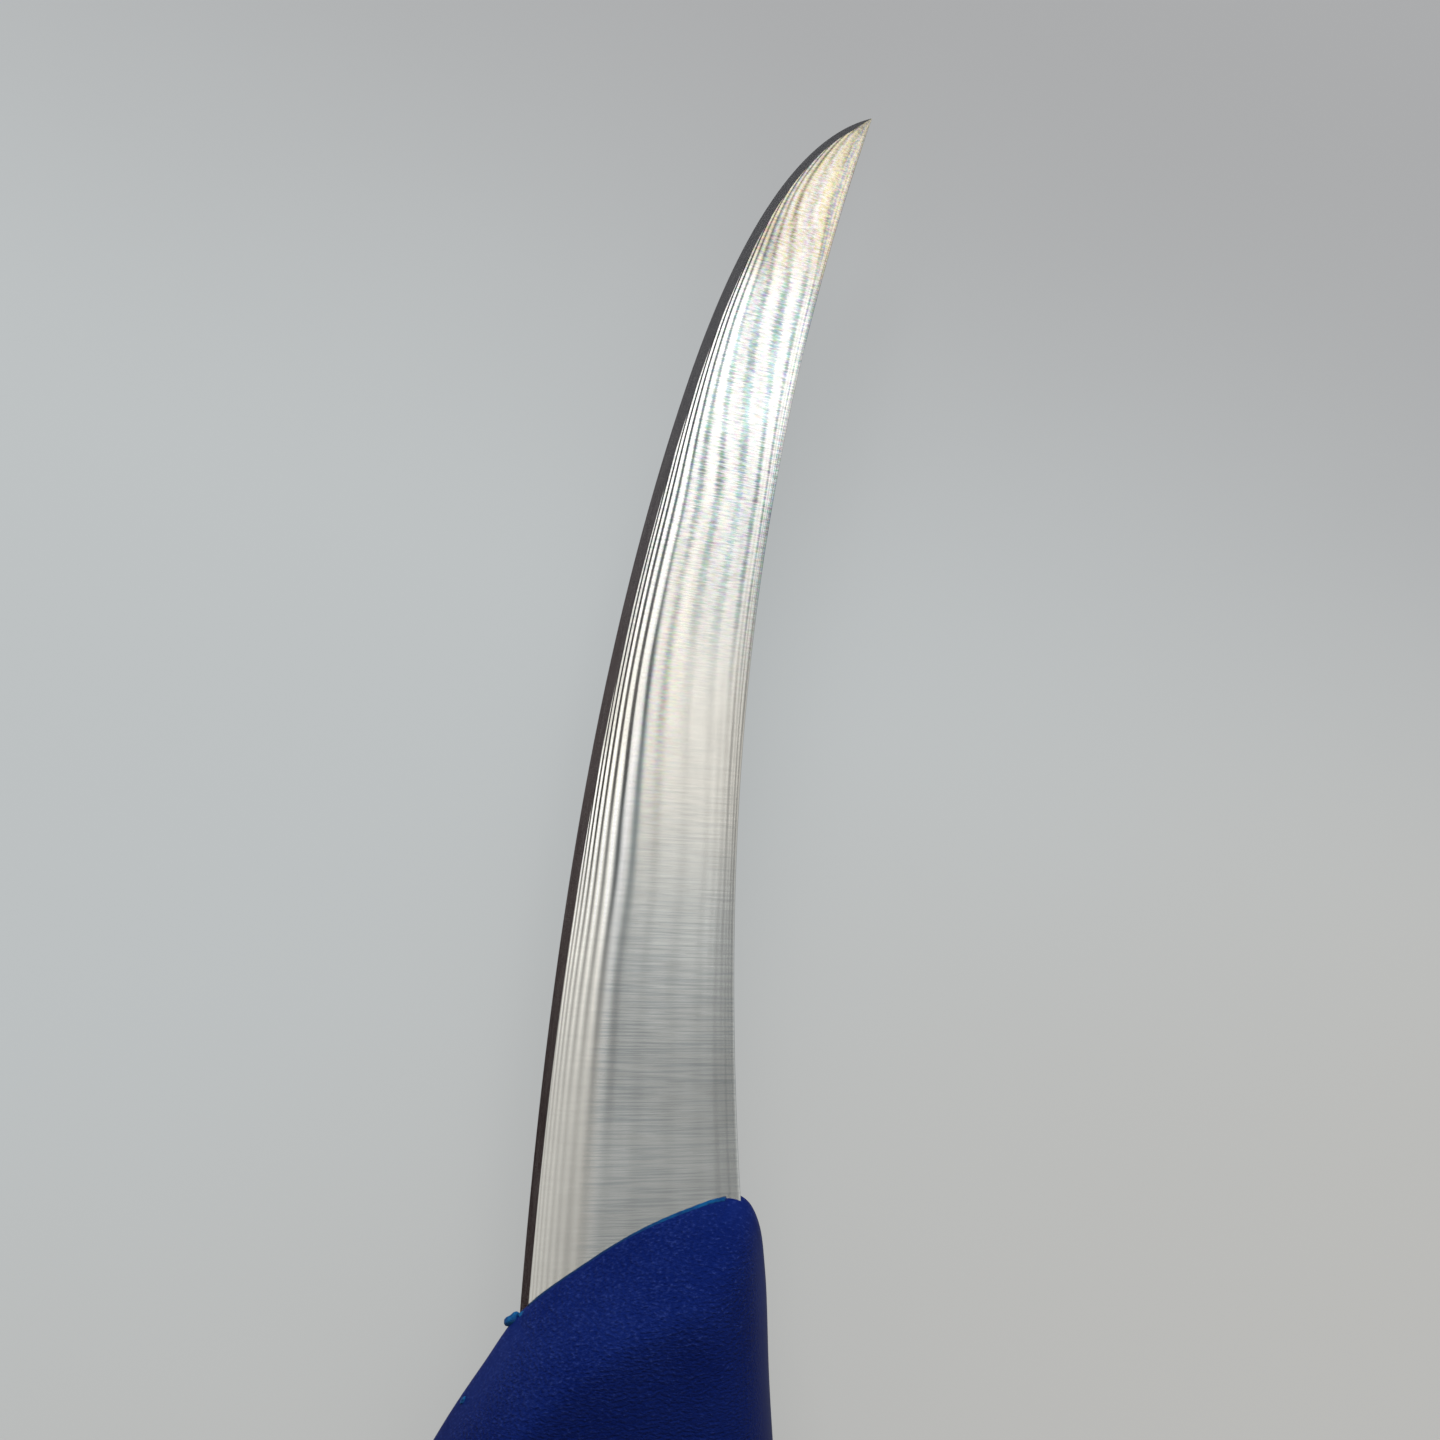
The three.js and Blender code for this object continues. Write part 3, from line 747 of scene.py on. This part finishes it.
for place, size, turn in CRUMBS:
    crumb = bmesh.ops.create_icosphere(bm, subdivisions=3, radius=1.0)["verts"]
    for vert in crumb:
        vert.co *= 1.0 + CRUMB_LUMPS * noise.noise(vert.co * CRUMB_LUMP_COUNT + place)
    bmesh.ops.scale(bm, vec=size, verts=crumb)
    bmesh.ops.rotate(bm, verts=crumb, matrix=Matrix.Rotation(turn, 3, "Z"))
    bmesh.ops.translate(bm, vec=place, verts=crumb)
bmesh.ops.recalc_face_normals(bm, faces=bm.faces)
for face in bm.faces:
    face.smooth = True
finish_piece(bm, "moulding_flash", [flash_plastic])


# Floor, light and camera: a pale paper floor under a graded card overhead, which the blade mirrors.
# The card has a bright panel, a grey end and a dark side, so that the face shines and the polished bevel
# stays dark. Places on the card are in metres, aside to the right and ahead towards the tip.
VIEW_MIDDLE = Vector((0.0113, 0.0613, SPINE_CORNER.z))
VIEW_WIDTH = 0.1865
VIEW_DISTANCE = 0.30
SENSOR_WIDTH = 36.0
FLOOR_REACH = 2.5
FLOOR_FAR_SHADE = (0.374, 0.378, 0.384)
FLOOR_COOL = (0.487, 0.511, 0.518)
FLOOR_WARM = (0.478, 0.478, 0.466)
FLOOR_GLOW_SHARE = 0.78
FLOOR_CLOUDS_PER_METRE = 9.0
FLOOR_WARM_SLANT = 0.45
FLOOR_FAR_SLANT = 0.4
FLOOR_ROUGHNESS = 0.8
FLOOR_SHINE = 0.1
WORLD_LIGHT = (0.55, 0.55, 0.55)
CARD_HEIGHT = 0.75
CARD_REACH = 1.2
CARD_TURN = math.radians(-12)
CARD_GREY = 0.345
CARD_RIGHT = 0.82
PANEL_LIGHT = 1.0
PANEL_CORE = 0.85
PANEL_NEAR = 1.05
PANEL_FAR = 0.22
PANEL_START = (-0.102, -0.022)
PANEL_STOP = (0.42, 0.44)
PANEL_SIDE = (-0.005, 0.065)
PANEL_SIDE_SHIFT = 0.04
FILL_LIGHT = 0.47
FILL_SWELL = 0.35
RIGHT_SIDE = (0.16, 0.23)
RIGHT_SIDE_SHIFT = 0.06
DARK_SIDE = (-0.141, -0.135)
DARK_SIDE_SHIFT = 0.08
DARK_OUTER_SIDE = (-0.72, -0.62)
DARK_FRONT_START = (0.44, 0.47)
DARK_FRONT_STOP = (0.8, 0.95)
DARK_FRONT_SIDE = (0.1, 0.2)
DARK_HEEL = (0.017, 0.005, 0.005)
DARK_MIDDLE = (0.075, 0.058, 0.058)
DARK_TIP = (0.11, 0.115, 0.125)
CARD_TINT = (1.0, 0.99, 0.965)
KEY_POWER = 27.0
KEY_SIZE = (0.9, 0.4)
KEY_PLACE = Vector((VIEW_MIDDLE.x + 0.05, VIEW_MIDDLE.y + 1.1, 0.5))
KEY_AIM = Vector((0.0, -0.02, 0.0))

floor_finish, tree, shader = new_finish("pale_floor")
floor_place = add_node(tree, "TexCoord").node.outputs["Object"]
floor_axes = add_node(tree, "SeparateXYZ", floor_place).node
floor_cloud = Reading(add_node(tree, "TexNoise", floor_place, None, FLOOR_CLOUDS_PER_METRE, 3.0, 0.5))
aside = Reading(floor_axes.outputs[0])
ahead = Reading(floor_axes.outputs[1])
floor_warmth = (ahead - aside * FLOOR_WARM_SLANT + floor_cloud * 0.05).fall(-0.04, 0.10)
# Painted shade: the floor darkens towards its far side
floor_far_shade = (ahead + aside * FLOOR_FAR_SLANT + floor_cloud * 0.03).ease(0.08, 0.2)
floor_colour = blend_colours(tree, floor_warmth, FLOOR_COOL, FLOOR_WARM)
floor_colour = blend_colours(tree, floor_far_shade, floor_colour, FLOOR_FAR_SHADE)
tree.links.new(floor_colour, shader.inputs["Base Color"])
shader.inputs["Roughness"].default_value = FLOOR_ROUGHNESS
shader.inputs["Specular IOR Level"].default_value = FLOOR_SHINE
ray = tree.nodes.new("ShaderNodeLightPath").outputs
seen = Reading(ray["Is Camera Ray"]) + Reading(ray["Is Glossy Ray"]) + Reading(ray["Is Transmission Ray"])
glow = add_node(tree, "Emission", floor_colour, 1.0)
paper = add_node(tree, "MixShader", seen.work("MINIMUM", 1.0) * FLOOR_GLOW_SHARE, shader.outputs[0], glow)
tree.links.new(paper, tree.nodes["Material Output"].inputs["Surface"])

card_finish, tree, shader = new_finish("graded_card")
tree.nodes.remove(shader)
card_axes = add_node(tree, "SeparateXYZ", add_node(tree, "TexCoord").node.outputs["Object"]).node
aside = Reading(card_axes.outputs[0])
ahead = Reading(card_axes.outputs[1])
panel_side = aside - ahead.ease(0.06, 0.12) * PANEL_SIDE_SHIFT
panel = ahead.ease(*PANEL_START) * ahead.fall(*PANEL_STOP) * panel_side.fall(*PANEL_SIDE)
core = ahead.ease(0.09, 0.14) * ahead.fall(0.19, 0.27) * PANEL_CORE
core = core + ahead.bell(-0.02, 0.035) * PANEL_NEAR + ahead.ease(0.2, 0.27) * PANEL_FAR
fill = ahead.fall(-0.08, -0.02) * aside.fall(-0.1, -0.072)
fill = fill * (ahead.ease(-0.22, -0.1) * FILL_SWELL + 1.0)
right_side = (aside + ahead.ease(-0.06, 0.06) * RIGHT_SIDE_SHIFT).ease(*RIGHT_SIDE)
brightness = panel * (core + (PANEL_LIGHT - CARD_GREY)) + CARD_GREY
brightness = brightness + fill * FILL_LIGHT + right_side * (CARD_RIGHT - CARD_GREY)
dark_side = aside + ahead.fall(-0.14, -0.04) * DARK_SIDE_SHIFT
dark = dark_side.fall(*DARK_SIDE) * aside.ease(*DARK_OUTER_SIDE)
dark_front = ahead.ease(*DARK_FRONT_START) * ahead.fall(*DARK_FRONT_STOP) * aside.fall(*DARK_FRONT_SIDE)
dark = dark.work("MAXIMUM", dark_front)
dark_colour = blend_colours(tree, ahead.ease(-0.26, -0.02), DARK_HEEL, DARK_MIDDLE)
dark_colour = blend_colours(tree, ahead.ease(-0.02, 0.25), dark_colour, DARK_TIP)
light_colour = add_node(tree, "CombineXYZ", *(brightness * share for share in CARD_TINT))
card_light = add_node(tree, "Emission", blend_colours(tree, dark, light_colour, dark_colour), 1.0)
tree.links.new(card_light, tree.nodes["Material Output"].inputs["Surface"])


def stage_sheet(name, reach, finish):
    """A flat square that isn't part of the knife."""
    sheet = bmesh.new()
    bmesh.ops.create_grid(sheet, x_segments=1, y_segments=1, size=reach)
    mesh = bpy.data.meshes.new(name)
    sheet.to_mesh(mesh)
    sheet.free()
    mesh.materials.append(finish)
    piece = bpy.data.objects.new(name, mesh)
    bpy.context.scene.collection.objects.link(piece)
    return piece


stage_sheet("floor", FLOOR_REACH, floor_finish)
card = stage_sheet("graded_card", CARD_REACH, card_finish)
card.location = (VIEW_MIDDLE.x, VIEW_MIDDLE.y, CARD_HEIGHT)
card.rotation_euler.z = CARD_TURN
card.visible_camera = False

key_light = bpy.data.lights.new("key_light", "AREA")
key_light.shape = "RECTANGLE"
key_light.size, key_light.size_y = KEY_SIZE
key_light.energy = KEY_POWER
key = bpy.data.objects.new("key_light", key_light)
key.location = KEY_PLACE
key.rotation_euler = (KEY_AIM - KEY_PLACE).to_track_quat("-Z", "Y").to_euler()
key.visible_glossy = False
bpy.context.scene.collection.objects.link(key)

world = bpy.data.worlds.new("studio")
world.use_nodes = True
world.node_tree.nodes["Background"].inputs["Color"].default_value = (*WORLD_LIGHT, 1.0)
bpy.context.scene.world = world
bpy.context.scene.view_settings.view_transform = "Standard"

camera_lens = bpy.data.cameras.new("camera")
camera_lens.sensor_width = SENSOR_WIDTH
camera_lens.lens = SENSOR_WIDTH * VIEW_DISTANCE / VIEW_WIDTH
camera = bpy.data.objects.new("camera", camera_lens)
camera.location = VIEW_MIDDLE + Vector((0.0, 0.0, VIEW_DISTANCE))
bpy.context.scene.collection.objects.link(camera)
bpy.context.scene.camera = camera
